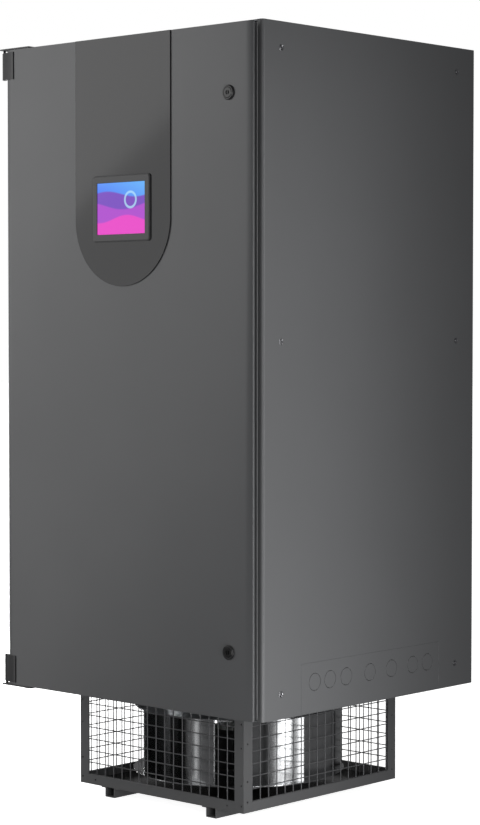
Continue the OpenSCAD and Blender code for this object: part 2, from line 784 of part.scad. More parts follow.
// Finned block as one comb section, drawn out along the slope
module coil_fins() color(aluminium) on_coil() {
    count = floor(coil_w / fin_pitch);
    step = coil_w / count;
    half = coil_t / 2;
    x = [for (i = [0:count - 1]) for (f = [0, 0.4, 0.4, 1]) (i + f) * step - coil_w / 2];
    z = [for (i = [0:count - 1]) for (d = [0, 0, fin_groove, fin_groove]) half - d];
    upper = [for (i = [0:len(x) - 1]) [x[i], z[i]]];
    lower = [for (i = [len(x) - 1:-1:0]) [x[i], -z[i]]];
    translate([0, coil_l / 2, 0]) rotate([90, 0, 0]) linear_extrude(coil_l) polygon(concat(upper, lower));
}

tube_r = 5;
bend_r = 13;
bend_rows = 2;

// Bracket from an end plate out to a foot on a side rail
module coil_bracket(z, foot_z) {
    y = coil_y + (z - coil_mid[2]) / tan(coil_tilt);
    x = bay_x - end_plate_t - weld_gap;
    block([coil_w / 2 + 1, y - 30, z], [bay_x - weld_gap, y + 30, z + end_plate_t]);
    block([x, y - 30, min(z, foot_z)], [bay_x - weld_gap, y + 30, max(z, foot_z) + end_plate_t]);
    block([x, y - 30, foot_z], [frame_x - 8, y + 30, foot_z + end_plate_t]);
}

module coil_end_plates() color(galvanised) both_sides() {
    on_coil() {
        count = floor((coil_l - 60) / (4 * bend_r));
        translate([coil_w / 2 + weld_gap, -coil_l / 2 - 8, -coil_t / 2 - 8])
            cube([end_plate_t, coil_l + 16, coil_t + 16]);
        for (i = [0:count - 1], row = [0:bend_rows - 1])
            translate([coil_w / 2 + end_plate_t - 0.5, (i - (count - 1) / 2) * 4 * bend_r, (row - 0.5) * coil_t / 2])
                rotate([0, 0, -90]) rotate_extrude(angle = 180, $fn = 32) translate([bend_r, 0]) circle(tube_r, $fn = 32);
    }
    coil_bracket(low_rail_z + 60, low_rail_z + tray_t + weld_gap);
    coil_bracket(high_rail_z - 60, high_rail_z + weld_gap);
}

// Pan under the coil, hung by its rims on the side rails, with a drain spout
module drip_tray() color(galvanised) difference() {
    x = bay_x - 30;
    spout = [x - 60, tray_rear_y - 60, low_rail_z - tray_h - 25];
    rim_z = low_rail_z + weld_gap / 2;
    union() {
        block([-x, tray_front_y, low_rail_z - tray_h], [x, tray_rear_y, rim_z + tray_t]);
        block([2 - frame_x, tray_front_y, rim_z], [frame_x - 2, tray_rear_y, rim_z + tray_t]);
        translate(spout) cylinder(r = 12, h = 30);
    }
    block([-x + tray_t, tray_front_y + tray_t, low_rail_z - tray_h + tray_t],
        [x - tray_t, tray_rear_y - tray_t, rim_z + tray_t + over]);
    translate(spout - [0, 0, over]) cylinder(r = 10, h = 40);
}

module inlet_ring() color(galvanised) {
    arc = [for (a = [90:5:180]) a];
    outer = [for (a = arc) [throat_r + bell_r + bell_r * cos(a), bell_z + bell_r * sin(a)]];
    inner = [for (i = [len(arc) - 1:-1:0]) [throat_r + bell_r + (bell_r - bell_t) * cos(arc[i]),
        bell_z + (bell_r - bell_t) * sin(arc[i])]];
    rotate_extrude($fn = 128) polygon(concat([[throat_r + bell_r + 22, base_top_z + bell_t]], outer,
        [[throat_r, throat_end_z], [throat_r + bell_t, throat_end_z]], inner,
        [[throat_r + bell_r + 22, base_top_z]]));
}

/* Fan */

// Middle of the circle of radius r through two points, on the axis side of their chord
function arc_middle(a, b, r) = let (chord = b - a, across = [-chord[1], chord[0]] / norm(chord))
    (a + b) / 2 + sqrt(r * r - chord * chord / 4) * across;

function polar(r, angle) = [r * cos(angle), r * sin(angle)];

// One blade: thick in the middle, between a tighter outer arc and a flatter inner one, cut square at both ends
module blade() {
    low = disc_z + impeller_t / 2;
    high = blade_h + 40;
    root = polar(collar_r + 21, 0);
    tip = polar(blade_r, blade_sweep);
    chord = tip - root;
    outer = arc_middle(root, tip, blade_arc_r);
    inner = arc_middle(root, tip, blade_arc_r * 1.5) - blade_edge_t * polar(1, blade_sweep / 2);
    intersection() {
        difference() {
            translate([outer[0], outer[1], low]) cylinder(r = blade_arc_r, h = high);
            translate([inner[0], inner[1], low - over]) cylinder(r = blade_arc_r * 1.5, h = high + 2 * over);
        }
        translate([root[0], root[1], low]) rotate(atan2(chord[1], chord[0]))
            translate([0, -blade_arc_r / 2, 0]) cube([norm(chord), blade_arc_r, high]);
    }
}

// Line of the shroud's section from the blade tips in to the eye, raised by a given amount
function shroud_line(rise) = [[blade_r + 2, shroud_z - 4 + rise], [collar_r + 36, shroud_z + 2 + rise],
    [collar_r + 14, shroud_z + 8 + rise], [collar_r + 4, shroud_z + 17 + rise], [collar_r, shroud_z + 27 + rise]];

function reversed(list) = [for (i = [len(list) - 1:-1:0]) list[i]];

module impeller() color(aluminium) {
    difference() {
        translate([0, 0, disc_z]) cylinder(r = disc_r, h = impeller_t, $fn = 128);
        translate([0, 0, disc_z - over]) cylinder(r = rotor_r - 5, h = impeller_t + 2 * over);
    }
    intersection() {
        for (i = [0:blade_count - 1]) rotate(i * 360 / blade_count) blade();
        rotate_extrude($fn = 128) polygon(concat([[0, disc_z - over], [blade_r + 5, disc_z - over],
            [blade_r + 5, shroud_line(1)[0][1]]], shroud_line(1), [[0, shroud_line(1)[4][1]]]));
    }
    rotate_extrude($fn = 128) polygon(concat(shroud_line(0),
        [for (p = reversed(shroud_line(impeller_t))) p + [impeller_t / 2, 0]]));
}

module fan_rotor() color(plastic_dark) {
    low = blade_z + 0.02;
    difference() {
        translate([0, 0, low]) rotate_extrude() polygon([[0, 0], [rotor_r + 22, 0], [rotor_r + 22, 4],
            [rotor_r, 5], [rotor_r, rotor_h - 10], [rotor_r - 10, rotor_h], [0, rotor_h]]);
        translate([0, 0, low - over]) cylinder(r = rotor_r - 7, h = rotor_h - 6 + over);
    }
    translate([0, 0, disc_z]) cylinder(r = fan_shaft_r, h = low + rotor_h - 3 - disc_z);
}

module motor_stator() color(plastic_dark) {
    body_r = rotor_r - 10;
    fins = 24;
    difference() {
        union() {
            translate([0, 0, floor_z]) cylinder(r = body_r + 30, h = 6);
            translate([0, 0, floor_z]) cylinder(r = body_r, h = blade_z + rotor_h - 12 - floor_z);
            for (i = [0:fins - 1]) rotate(i * 360 / fins) translate([body_r - 4, -1.5, floor_z])
                cube([20, 3, disc_lift - 6]);
        }
        translate([0, 0, disc_z - 12]) cylinder(r = fan_shaft_r + run_gap, h = rotor_h + 60);
    }
}

/* Cage */

hole_r = 3;

module cage_corner() difference() {
    block([cage_x - angle_w, cage_y - angle_w, foot_h], [cage_x, cage_y, under_z]);
    block([cage_x - angle_w - over, cage_y - angle_w - over, foot_h - over],
        [cage_x - cage_t, cage_y - cage_t, under_z + over]);
    for (z = [foot_h + 20, foot_h + 80, foot_h + 190, foot_h + 260]) {
        facing_front([cage_x - 10, cage_y + over, z]) cylinder(r = hole_r, h = cage_t + 2 * over);
        facing_side([cage_x - cage_t - over, cage_y - 17, z + 11], 1) cylinder(r = hole_r, h = cage_t + 2 * over);
    }
}

module cage_posts() color(paint) both_sides() {
    cage_corner();
    mirror([0, 1, 0]) cage_corner();
}

// Bars of one level; the upper ones have a flange under the base plate
module cage_level(low, flange) {
    x = cage_x - angle_w - weld_gap;
    y = cage_y - angle_w - weld_gap;
    for (turn = [0, 1]) mirror([0, turn, 0]) difference() {
        union() {
            block([-x, cage_y - cage_t, low], [x, cage_y, low + bar_h]);
            block([-x, cage_y - cage_t - flange, low + bar_h - cage_t], [x, cage_y, low + bar_h]);
        }
        for (side = [-1, 1]) facing_front([side * (x - 30), cage_y + over, low + bar_h / 2])
            cylinder(r = hole_r, h = cage_t + 2 * over);
    }
    both_sides() {
        block([cage_x - cage_t, -y, low], [cage_x, y, low + bar_h]);
        block([cage_x - cage_t - flange, -y, low + bar_h - cage_t], [cage_x, y, low + bar_h]);
    }
}

module cage_bars() color(paint) {
    cage_level(foot_h, 0);
    cage_level(under_z - bar_h, 22);
}

module cage_floor() color(paint_dark)
    block([cage_t - cage_x, cage_t - cage_y, foot_h], [cage_x - cage_t, cage_y - cage_t, floor_z]);

// Welded mesh in the XZ plane; upright wires in front, level wires behind and sunk into them at the welds
module mesh(width) {
    low = floor_z + 0.5;
    high = under_z - cage_t - 0.5;
    half = width / 2 - wire_d;
    r = wire_d / 2;
    count = floor(half / mesh_pitch);
    rows = floor((high - low - wire_d) / mesh_pitch);
    for (i = [-count - 1:count]) let (x = (i + 0.5) * mesh_pitch) if (abs(x) < half)
        translate([x, r + 0.1, low]) cylinder(r = r, h = high - low, $fn = 48);
    for (j = [0:rows])
        facing_side([-half, 2.7 * r + 0.1, high - 11.3 - j * mesh_pitch], 1)
            cylinder(r = r, h = 2 * half, $fn = 48);
}

mesh_w = cage_w - 2 * cage_t - 2 * wire_d - 4;
mesh_d = cage_d - 2 * cage_t - 2 * wire_d - 4;

module mesh_front() color(galvanised) translate([0, cage_t - cage_y, 0]) mesh(mesh_w);

module mesh_rear() color(galvanised) mirror([0, 1, 0]) translate([0, cage_t - cage_y, 0]) mesh(mesh_w);

module mesh_right() color(galvanised) translate([cage_x - cage_t, 0, 0]) rotate(90) mesh(mesh_d);

module mesh_left() color(galvanised) mirror([1, 0, 0]) translate([cage_x - cage_t, 0, 0]) rotate(90) mesh(mesh_d);

module foot_rails() color(paint) both_sides() difference() {
    half = foot_w / 2;
    translate([foot_x, cage_y, 0]) rotate([90, 0, 0]) linear_extrude(cage_d) polygon([
        [-half, 0], [half, 0], [half, foot_h - cage_t], [half + foot_flange, foot_h - cage_t],
        [half + foot_flange, foot_h], [half - cage_t, foot_h], [half - cage_t, cage_t], [cage_t - half, cage_t],
        [cage_t - half, foot_h], [-half - foot_flange, foot_h], [-half - foot_flange, foot_h - cage_t],
        [-half, foot_h - cage_t]]);
    for (y = [-1, 1]) translate([foot_x, y * anchor_pitch / 2, -over]) cylinder(r = anchor_r, h = cage_t + 2 * over);
}

/* Refrigeration */

shell_low_z = base_top_z + rubber_h;

// Standing vessel with domed ends
module vessel(r, h, dome) rotate_extrude() intersection() {
    union() {
        translate([0, dome]) square([r, h - 2 * dome]);
        for (z = [r, h - r]) translate([0, z]) circle(r);
    }
    square([r, h]);
}

module compressor() color(black_paint) translate([compressor_xy[0], compressor_xy[1], 0]) {
    translate([0, 0, shell_low_z]) vessel(compressor_r, compressor_h, compressor_r);
    translate([0, 0, shell_low_z + 55]) cylinder(r = compressor_r + 4, h = 8);
    difference() {
        block([-compressor_r, -compressor_r, shell_low_z], [compressor_r, compressor_r, shell_low_z + 5]);
        for (x = [-1, 1], y = [-1, 1]) translate([x * (compressor_r - 16), y * (compressor_r - 16), shell_low_z - over])
            cylinder(r = 8.1, h = 8);
    }
    block([-30, -compressor_r - 26, shell_low_z + 190], [30, -compressor_r + 20, shell_low_z + 270]);
    translate([0, compressor_r - 15, shell_low_z + 300]) rotate([-90, 0, 0]) cylinder(r = suction_r + 4, h = 25);
    translate([0, 0, shell_low_z + compressor_h - 15]) cylinder(r = discharge_r + 3, h = 25);
}

module compressor_feet() color(rubber)
    for (x = [-1, 1], y = [-1, 1])
        translate([compressor_xy[0] + x * (compressor_r - 16), compressor_xy[1] + y * (compressor_r - 16), base_top_z])
            rotate_extrude() polygon([[0, 0], [18, 0], [18, 6], [12, 10], [12, 16], [18, rubber_h - 8],
                [18, rubber_h - 0.1], [7.9, rubber_h - 0.1], [7.9, rubber_h + 9], [0, rubber_h + 9]]);

module liquid_receiver() color(black_paint) translate([receiver_xy[0], receiver_xy[1], base_top_z]) {
    translate([0, 0, 20]) vessel(receiver_r, receiver_h, receiver_r);
    difference() {
        cylinder(r = receiver_r - 8, h = 50);
        translate([0, 0, -over]) cylinder(r = receiver_r - 12, h = 60);
    }
    cylinder(r = receiver_r + 8, h = 3);
    translate([0, 0, receiver_h + 10]) cylinder(r = liquid_r + 3, h = 22);
}

riser_y = receiver_xy[1];

module filter_drier() color([0.2, 0.3, 0.25]) translate([pipe_x, riser_y, drier_z[0]]) rotate_extrude()
    polygon([[0, 0], [liquid_r + 2, 0], [liquid_r + 2, 12], [drier_r, 26], [drier_r, drier_z[1] - drier_z[0] - 26],
        [liquid_r + 2, drier_z[1] - drier_z[0] - 12], [liquid_r + 2, drier_z[1] - drier_z[0]],
        [0, drier_z[1] - drier_z[0]]]);

module expansion_valve() color([0.72, 0.6, 0.3]) {
    mid_y = (valve_y[0] + valve_y[1]) / 2;
    translate([pipe_x, valve_y[1], liquid_z]) rotate([90, 0, 0])
        cylinder(r = liquid_r + 4, h = valve_y[1] - valve_y[0]);
    translate([pipe_x, mid_y, liquid_z - 22]) cylinder(r = 12, h = 50);
    translate([pipe_x, mid_y, liquid_z + 28]) rotate_extrude() polygon([[0, 0], [14, 0], [22, 6], [22, 9], [12, 14], [0, 14]]);
}

module suction_pipe() color(copper) pipe([
    [compressor_xy[0], compressor_xy[1] + compressor_r + 10, shell_low_z + 300],
    [compressor_xy[0], suction_y, shell_low_z + 300], [-header_x, suction_y, shell_low_z + 300],
    [-header_x, suction_y, suction_z], [-coil_w / 2 - end_plate_t - 2 * weld_gap, suction_y, suction_z]],
    suction_r, suction_bend);

module discharge_pipe() color(copper) {
    end = [200, compressor_xy[1], under_z + 260];
    level = shell_low_z + compressor_h + 75;
    pipe([[compressor_xy[0], compressor_xy[1], shell_low_z + compressor_h + 10],
        [compressor_xy[0], compressor_xy[1], level], [end[0], end[1], level], end], discharge_r, pipe_bend);
    translate(end - [0, 0, 26]) cylinder(r = discharge_r + 5, h = 34);
    translate(end - [0, 0, 12]) rotate([90, 0, 0]) cylinder(r = 6, h = 34);
}

module liquid_pipe() color(copper) {
    pipe([[receiver_xy[0], riser_y, receiver_top_z], [receiver_xy[0], riser_y, liquid_level],
        [pipe_x, riser_y, liquid_level], [pipe_x, riser_y, drier_z[0]]], liquid_r, 25);
    pipe([[pipe_x, riser_y, drier_z[1]], [pipe_x, riser_y, liquid_z], [pipe_x, valve_y[0], liquid_z]],
        liquid_r, 25);
    pipe([[pipe_x, valve_y[1], liquid_z], [pipe_x, liquid_y, liquid_z],
        [coil_w / 2 + end_plate_t + 2 * weld_gap, liquid_y, liquid_z]], liquid_r, 25);
}

/* Electrical equipment */

module mounting_plate() color(galvanised) {
    x = bay_x - weld_gap;
    high_z = plate_low_z + plate_h;
    block([-x, plate_y, plate_low_z], [x, plate_y + plate_t, high_z]);
    both_sides() block([x - plate_t, bay_front_y - 30, plate_low_z], [x, plate_y + plate_t, high_z]);
}

// Heights of the rows of equipment above the plate's lower edge
duct_z = [20, 250, 500, 735];
duct_h = 35;
duct_half = 420;

// Slotted wiring duct: comb fingers along both edges and a lid
module wiring_duct(length) {
    pitch = 20;
    count = floor(length / pitch);
    x = [for (i = [0:count - 1]) for (f = [0, 0.3, 0.3, 1]) (i + f) * pitch];
    z = [for (i = [0:count - 1]) for (d = [8, 8, 0, 0]) d];
    rotate([90, 0, 0]) linear_extrude(duct_d) polygon(concat([for (i = [0:len(x) - 1]) [x[i], z[i]]],
        [for (i = [len(x) - 1:-1:0]) [x[i], duct_h - z[i]]]));
    translate([0, -duct_d - 2.5, 0]) cube([count * pitch, 3, duct_h]);
}

module wiring_ducts() color([0.62, 0.64, 0.66])
    for (z = duct_z) translate([-duct_half, plate_y, plate_low_z + z]) wiring_duct(2 * duct_half);

// Top-hat rail that the switchgear clips on
module din_rail(length) translate([0, 0, -17.5]) {
    translate([0, -7.5, 5]) cube([length, 7.5, 25]);
    translate([0, -8.5, 0]) cube([length, 1, 35]);
}

breaker_w = 17.5;

module breakers() color(plastic_light) translate([-duct_half + 20, plate_y, plate_low_z + 650]) {
    din_rail(breaker_count * (breaker_w + 0.5) + 20);
    for (i = [0:breaker_count - 1]) translate([10 + i * (breaker_w + 0.5), 0, 0]) {
        block([0, -52, -42], [breaker_w, -8, 42]);
        block([0, -70, -22], [breaker_w, -51, 22]);
        block([5, -80, 2], [breaker_w - 5, -69, 12]);
    }
}

contactor_w = 45;

module contactors() color([0.3, 0.31, 0.33]) translate([-duct_half + 20, plate_y, plate_low_z + 400]) {
    din_rail(contactor_count * (contactor_w + 12) + 20);
    for (i = [0:contactor_count - 1]) translate([10 + i * (contactor_w + 12), 0, 0]) {
        block([0, -60, -38], [contactor_w, -8, 38]);
        block([4, -85, -20], [contactor_w - 4, -59, 20]);
        for (x = [6, 19, 32]) block([x, -66, 22], [x + 8, -59, 34]);
    }
}

terminal_w = 8.2;

module terminal_blocks() color([0.66, 0.67, 0.6]) translate([-duct_half + 20, plate_y, plate_low_z + 140]) {
    din_rail(terminal_count * terminal_w + 20);
    for (i = [0:terminal_count - 1]) translate([10 + i * terminal_w, 0, 0]) {
        block([0, -34, -26], [terminal_w - 0.4, -8, 26]);
        block([0, -46, -14], [terminal_w - 0.4, -33, 14]);
    }
}

module controller() color([0.13, 0.15, 0.16]) translate([60, plate_y, plate_low_z + 320]) {
    block([0, -38, 0], [290, 0, 130]);
    block([6, -46, 12], [284, -37, 118]);
    for (i = [0:13], z = [2, 118]) block([12 + i * 20, -52, z], [27 + i * 20, -37, z + 10]);
}

isolator_at = [330, plate_y, plate_low_z + 620];

module isolator_body() color([0.2, 0.2, 0.21]) translate(isolator_at) difference() {
    union() {
        block([-50, -60, -55], [50, 0, 55]);
        facing_front([0, -59, 0]) cylinder(r = 38, h = 6);
    }
    facing_front([0, -20, 0]) cylinder(r = 5 + run_gap, h = 60);
}

module isolator_knob() color([0.7, 0.1, 0.08]) translate(isolator_at) {
    facing_front([0, -25, 0]) cylinder(r = 5, h = 50);
    facing_front([0, -65.3, 0]) cylinder(r = 30, h = 12);
    block([-9, -95, -30], [9, -74, 30]);
}

/* Assembly */

frame_posts();
base_rails();
top_rails();
side_rails();
base_plate();
side_panel_left();
side_panel_right();
cable_entry_plate();
rear_panels();
top_grille_cover();
panel_screws();
door_frame();
hinge_brackets();
lock_keepers();
filter_rack();
air_filters();
coil_fins();
coil_end_plates();
drip_tray();
mounting_plate();
breakers();
contactors();
terminal_blocks();
wiring_ducts();
controller();
isolator_body();
compressor();
compressor_feet();
liquid_receiver();
filter_drier();
expansion_valve();
suction_pipe();
discharge_pipe();
liquid_pipe();
inlet_ring();
motor_stator();
cage_posts();
cage_bars();
cage_floor();
mesh_front();
mesh_rear();
mesh_left();
mesh_right();
foot_rails();
door_skin();
door_liner();
door_stiffeners();
door_seal();
hinge_knuckles();
display_fascia();
display_bezel();
display_screen();
display_box();
lock_housings();
upper_lock_insert();
lower_lock_insert();
impeller();
fan_rotor();
isolator_knob();
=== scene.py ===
# %% [markdown]
# # Dressing a cooling cabinet and the fan under it
# The object is a tall room cooling cabinet for a data room. A steel frame carries painted sheet panels and a
# hinged door with a display. A centrifugal fan hangs in a wire cage below and blows the cooled air under a raised
# floor. The shapes arrive finished from a CAD model, so this lesson is about what makes such shapes look real:
# soft edges, honest paint and metal, and light that shows both.

# %% Load the shapes
import json
import math

import bmesh
import bpy
from mathutils import Matrix, Vector


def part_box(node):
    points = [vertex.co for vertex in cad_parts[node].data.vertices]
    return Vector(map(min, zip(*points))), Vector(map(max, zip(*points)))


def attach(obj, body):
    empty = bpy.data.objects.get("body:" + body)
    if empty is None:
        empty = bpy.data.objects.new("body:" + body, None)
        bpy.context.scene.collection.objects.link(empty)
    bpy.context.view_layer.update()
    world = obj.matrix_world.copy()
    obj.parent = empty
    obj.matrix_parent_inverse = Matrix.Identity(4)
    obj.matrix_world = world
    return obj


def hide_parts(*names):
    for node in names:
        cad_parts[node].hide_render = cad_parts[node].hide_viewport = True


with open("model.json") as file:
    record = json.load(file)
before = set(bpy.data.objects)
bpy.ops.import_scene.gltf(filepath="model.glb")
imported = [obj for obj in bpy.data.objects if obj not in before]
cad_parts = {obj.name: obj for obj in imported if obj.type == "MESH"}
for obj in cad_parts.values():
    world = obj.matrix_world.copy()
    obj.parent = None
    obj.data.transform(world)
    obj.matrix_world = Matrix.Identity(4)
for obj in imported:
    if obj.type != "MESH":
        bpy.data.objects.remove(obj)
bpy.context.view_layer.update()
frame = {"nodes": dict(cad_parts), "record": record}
nodes = frame["nodes"]
bodies = frame["record"]["behaviour"]["bodies"]
body_of = {node: body for body, members in bodies.items() for node in members}
slot_of = {part["node"]: part["material_slot"] for part in frame["record"]["subparts"]}
mm = 0.001

# %% [markdown]
# ## The camera
# A long lens from a few metres away keeps the tall edges nearly parallel, as in a product picture. The camera
# stands to the right of the door at chest height and looks very slightly down. The scene uses the plain display
# transform, so a grey that the light makes is the grey that the picture shows.

# %% Place the camera
scene = bpy.context.scene
scene.view_settings.view_transform = "Standard"

camera_data = bpy.data.cameras.new("camera")
camera_data.lens = 97.92
camera = bpy.data.objects.new("camera", camera_data)
camera.location = (4.7052, -5.1230, 1.4379)
camera.rotation_euler = (math.radians(90 - 2.14), 0, math.radians(42.53))
scene.collection.objects.link(camera)
scene.camera = camera
print("camera", [round(x, 2) for x in camera.location], "lens", camera_data.lens)

# %% [markdown]
# ## The stage
# A pale floor runs out past the picture. It glows by itself, so that it stays almost as white as the backdrop. It
# throws no shadow, because one of the light cards reaches below it. Rays that leave the camera see a white world,
# and every other ray sees an even dark grey one, so that dark paint stays dark where no card is mirrored.

# %% Build the stage
def put(tree, kind, sockets=None, **settings):
    """Adds a shader node, sets its options, and sets or links its sockets."""
    node = tree.nodes.new(kind)
    for name, value in settings.items():
        setattr(node, name, value)
    for name, value in (sockets or {}).items():
        if isinstance(value, bpy.types.NodeSocket):
            tree.links.new(value, node.inputs[name])
        else:
            node.inputs[name].default_value = value
    return node


def ramp(tree, value, stops):
    """A colour ramp from (position, colour) stops, greys given as one number."""
    node = put(tree, "ShaderNodeValToRGB", {"Fac": value})
    elements = node.color_ramp.elements
    while len(elements) < len(stops):
        elements.new(0.5)
    for element, (position, colour) in zip(elements, stops):
        element.position = position
        element.color = (*(colour if hasattr(colour, "__len__") else (colour,) * 3), 1)
    return node.outputs["Color"]


def math_node(tree, operation, a, b=0.0, c=0.0):
    """One sum of the shader tree."""
    return put(tree, "ShaderNodeMath", {0: a, 1: b, 2: c}, operation=operation).outputs[0]


def material_tree(name):
    """An empty material with an output node."""
    material = bpy.data.materials.new(name)
    material.use_nodes = True
    material.node_tree.nodes.clear()
    return material, material.node_tree, put(material.node_tree, "ShaderNodeOutputMaterial")


def pale_floor():
    size = 40
    mesh = bpy.data.meshes.new("floor")
    corners = [(x * size, y * size, -0.0005) for x, y in ((-1, -1), (1, -1), (1, 1), (-1, 1))]
    mesh.from_pydata(corners, [], [(0, 1, 2, 3)])
    floor = bpy.data.objects.new("floor", mesh)
    scene.collection.objects.link(floor)
    material, tree, out = material_tree("pale floor")
    speckle = put(tree, "ShaderNodeTexNoise", {"Scale": 60.0, "Detail": 3.0}).outputs[0]
    tone = ramp(tree, speckle, [(0.3, 0.80), (0.7, 0.84)])
    shader = put(tree, "ShaderNodeBsdfPrincipled", {"Base Color": tone, "Roughness": 0.7,
        "Emission Color": (1, 1, 1, 1), "Emission Strength": 0.94})
    tree.links.new(shader.outputs[0], out.inputs["Surface"])
    mesh.materials.append(material)
    floor.visible_diffuse = False
    floor.visible_glossy = False
    floor.visible_shadow = False


def studio_world():
    world = bpy.data.worlds.new("studio")
    scene.world = world
    world.use_nodes = True
    tree = world.node_tree
    tree.nodes.clear()
    seen = put(tree, "ShaderNodeLightPath").outputs["Is Camera Ray"]
    room = put(tree, "ShaderNodeBackground", {"Color": (0.17, 0.17, 0.173, 1), "Strength": 1.0})
    white = put(tree, "ShaderNodeBackground", {"Color": (1, 1, 1, 1), "Strength": 1.0})
    mix = put(tree, "ShaderNodeMixShader", {0: seen, 1: room.outputs[0], 2: white.outputs[0]})
    put(tree, "ShaderNodeOutputWorld", {"Surface": mix.outputs[0]})


pale_floor()
studio_world()

# %% [markdown]
# ## The lights
# Dark paint shows light mostly by what it mirrors. A large card stands where the door mirrors it, tilted, so that
# its lower edge lets the door's lower right corner fall into shade. A second card in front of it crosses the glossy
# panel round the display as a diagonal. Tall narrow boxes beyond the front right corner light the side panel, which
# is brightest at its front edge. A low box picks out the cage, and a strip from the front and a wide box from the
# left give the fan's blades their bright strips.

# %% Hang the lights
def softbox(name, at, target, size, power, spin=0.0):
    """A rectangular light at a place, facing a target; spin turns it about its own axis, in degrees."""
    light = bpy.data.lights.new(name, "AREA")
    light.shape = "RECTANGLE"
    light.size, light.size_y = size
    light.energy = power
    box = bpy.data.objects.new(name, light)
    aim = (Vector(target) - Vector(at)).to_track_quat("-Z", "Y")
    box.matrix_world = Matrix.Translation(at) @ aim.to_matrix().to_4x4() @ Matrix.Rotation(math.radians(spin), 4, "Z")
    box.visible_camera = False
    scene.collection.objects.link(box)


softbox("door card", (-3.35, -3.0, 1.57), (-3.35, 0, 1.57), (4.5, 3.3), 61, spin=50.9)
softbox("panel card", (-2.48, -2.19, 2.63), (0, -0.5, 1.9), (3.2, 1.5), 13, spin=46)
softbox("side strip", (1.25, -0.2, 1.0), (0.48, -0.5, 1.0), (0.25, 2.6), 9)
softbox("side far strip", (1.9, -1.6, 0.9), (0.51, -0.4, 0.9), (0.4, 2.6), 12)
softbox("low strip", (1.3, -0.75, 0.12), (0.42, -0.3, 0.15), (0.3, 0.4), 4)
softbox("front strip", (4.2, -4.4, 0.9), (0, 0, 0.3), (0.2, 1.6), 5)
softbox("left wall", (-3.5, 0.6, 0.6), (0, 0, 0.3), (1.6, 1.2), 150)

# %% [markdown]
# ## Effects that several finishes share
# Paint, plastic and metal differ, but some effects come back in all of them: a fine bumpy skin, slow patches of
# tone, a film of dust on what faces up. Each is a node group with named inputs, built once and placed in every
# finish that needs it. Everything is measured in the object's own space, so a pattern stays on its piece when the
# piece moves.

# %% A helper for node groups
def new_group(name, inputs, outputs):
    """A node group with number inputs and outputs; returns its tree, its inputs and its output node."""
    tree = bpy.data.node_groups.new(name, "ShaderNodeTree")
    for label, value in inputs.items():
        tree.interface.new_socket(label, in_out="INPUT", socket_type="NodeSocketFloat").default_value = value
    for label in outputs:
        tree.interface.new_socket(label, in_out="OUTPUT", socket_type="NodeSocketFloat")
    return tree, put(tree, "NodeGroupInput").outputs, put(tree, "NodeGroupOutput")


def use_group(tree, name, **values):
    """Places a node group and sets its inputs; underscores in a name stand for spaces."""
    node = put(tree, "ShaderNodeGroup", node_tree=bpy.data.node_groups[name])
    for label, value in values.items():
        node.inputs[label.replace("_", " ")].default_value = value
    return node.outputs


# %% [markdown]
# ### Fine skin
# Powder coat and moulded plastic have a skin like fine orange peel. Two sizes of noise, the small one weaker, give
# a height that a Bump node can read.

# %% Group: fine skin
def build_fine_skin():
    tree, given, out = new_group("fine skin", {"Grain size": 1.0}, ["Height"])
    place = put(tree, "ShaderNodeTexCoord").outputs["Object"]
    scale = math_node(tree, "DIVIDE", 1000.0, given["Grain size"])
    large = put(tree, "ShaderNodeTexNoise", {"Vector": place, "Scale": scale, "Detail": 1.0}).outputs[0]
    fine = put(tree, "ShaderNodeTexNoise",
        {"Vector": place, "Scale": math_node(tree, "MULTIPLY", scale, 2.7), "Detail": 1.0}).outputs[0]
    tree.links.new(math_node(tree, "MULTIPLY_ADD", fine, 0.4, large), out.inputs["Height"])


build_fine_skin()

# %% [markdown]
# ### Slow patches
# No large surface has one tone. A very slow noise shifts the colour by a few per cent and the gloss a little more,
# which is enough to break the perfect evenness that gives a render away.

# %% Group: slow patches
def build_slow_patches():
    tree, given, out = new_group("slow patches", {"Size": 0.3, "Depth": 0.06}, ["Tone", "Gloss"])
    place = put(tree, "ShaderNodeTexCoord").outputs["Object"]
    scale = math_node(tree, "DIVIDE", 1.0, given["Size"])
    noise = put(tree, "ShaderNodeTexNoise", {"Vector": place, "Scale": scale, "Detail": 4.0}).outputs[0]
    swing = math_node(tree, "MULTIPLY_ADD", noise, 2.0, -1.0)
    tree.links.new(math_node(tree, "MULTIPLY_ADD", swing, given["Depth"], 1.0), out.inputs["Tone"])
    gloss_depth = math_node(tree, "MULTIPLY", given["Depth"], -1.5)
    tree.links.new(math_node(tree, "MULTIPLY_ADD", swing, gloss_depth, 1.0), out.inputs["Gloss"])


build_slow_patches()

# %% [markdown]
# ### Dust film
# Dust settles on what faces up. The upward part of the surface's normal, roughened by noise, is the mask, and each
# finish turns paler and duller under it.

# %% Group: dust film
def build_dust_film():
    tree, given, out = new_group("dust film", {"Amount": 0.3}, ["Mask"])
    place = put(tree, "ShaderNodeTexCoord").outputs["Object"]
    normal = put(tree, "ShaderNodeNewGeometry").outputs["Normal"]
    up = put(tree, "ShaderNodeSeparateXYZ", {0: normal}).outputs["Z"]
    level = put(tree, "ShaderNodeMapRange", {"Value": up, "From Min": 0.5, "From Max": 1.0}).outputs[0]
    noise = put(tree, "ShaderNodeTexNoise", {"Vector": place, "Scale": 14.0, "Detail": 5.0}).outputs[0]
    cloud = math_node(tree, "MULTIPLY", level, noise)
    tree.links.new(math_node(tree, "MULTIPLY", cloud, given["Amount"]), out.inputs["Mask"])


build_dust_film()

# %% [markdown]
# ### Drawn lines
# Rolled and drawn metal carries faint lines along the way it was worked. Noise that is squeezed along one axis gives
# them. The group has one input for the stretch of each axis.

